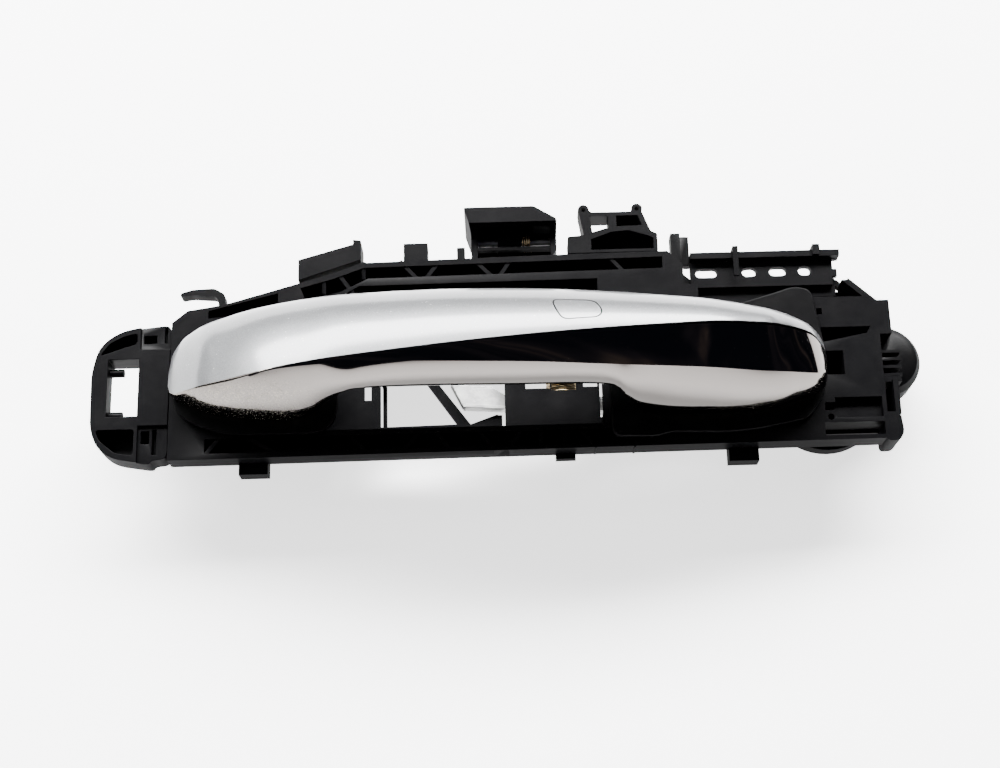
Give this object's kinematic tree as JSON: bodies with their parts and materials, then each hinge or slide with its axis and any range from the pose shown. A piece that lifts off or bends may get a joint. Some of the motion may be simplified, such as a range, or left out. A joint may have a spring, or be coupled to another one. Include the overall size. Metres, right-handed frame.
{
  "type": "outside car door handle",
  "caption": "Outside car door handle: a silver and chrome pull grip hinged at one end on a black moulded carrier with a bell crank, crash catch and locking rail.",
  "frame": {"origin": "middle of the outside length and width, on the plane that the back rests on", "axes": "+X along the handle to its pulling end, +Y towards the roof of the car, +Z out of the door"},
  "size_m": [0.2806, 0.0914, 0.0769],
  "materials": {
    "carrier_plastic": "glass-filled black moulding, fine grain",
    "black_plastic": "black moulding, slightly worn",
    "rubber": "soft black rubber",
    "silver_paint": "silver metallic paint under clear coat",
    "chrome": "bright plating with pitting at the ends",
    "zinc": "rough die-cast zinc",
    "steel": "plain turned steel",
    "spring_steel": "drawn spring wire, yellowish",
    "ferrite": "dark ferrite",
    "circuit_board": "green lacquered board",
    "bush_plastic": "natural acetal"
  },
  "bodies": {
    "carrier": {"carrier_frame": "carrier_plastic", "front_end_frame": "carrier_plastic", "front_pad": "rubber", "rear_pad": "rubber", "hinge_pin": "steel", "crank_shaft": "steel", "shaft_clip": "spring_steel", "rear_clamp_screw": "steel", "return_spring": "spring_steel", "rear_cup": "black_plastic", "seal_plug": "rubber", "crash_hood": "black_plastic", "catch_pin": "steel", "catch_spring": "spring_steel", "cable_bracket": "black_plastic", "harness_guide": "black_plastic", "crank_stop": "rubber"},
    "grip": {"grip_outer_shell": "silver_paint", "lock_touch_pad": "silver_paint", "grip_inner_shell": "chrome", "grip_core": "black_plastic", "antenna_rod": "ferrite", "sensor_board": "circuit_board", "hinge_arm": "black_plastic", "pull_arm": "black_plastic", "grip_screw_front": "steel", "grip_screw_rear": "steel"},
    "crank": {"bell_crank": "zinc", "crank_bush": "bush_plastic"},
    "catch": {"crash_catch": "black_plastic", "catch_weight": "zinc"},
    "rail": {"lock_rail": "black_plastic"}
  },
  "joints": [
    {"name": "grip_hinge", "type": "hinge", "parent": "carrier", "child": "grip", "pos_m": [-0.10472, -0.01675, 0.025], "axis": [0, -1, 0], "range_deg": [0, 7]},
    {"name": "crank_turn", "type": "hinge", "parent": "carrier", "child": "crank", "pos_m": [0.01778, -0.01675, 0.016], "axis": [0, -1, 0], "range_deg": [0, 28.2], "stiffness_Nm_per_rad": 0.6, "springref_deg": -28.65},
    {"name": "catch_swing", "type": "hinge", "parent": "carrier", "child": "catch", "pos_m": [0.01778, 0.03725, 0.021], "axis": [-1, 0, 0], "range_deg": [0, 12], "stiffness_Nm_per_rad": 0.01, "springref_deg": -17.19},
    {"name": "rail_slide", "type": "slide", "parent": "carrier", "child": "rail", "axis": [1, 0, 0], "range_m": [0, 0.0035]}
  ],
  "couplings": [
    {"joint": "crank_turn", "follows": "grip_hinge", "ratio": 4}
  ]
}
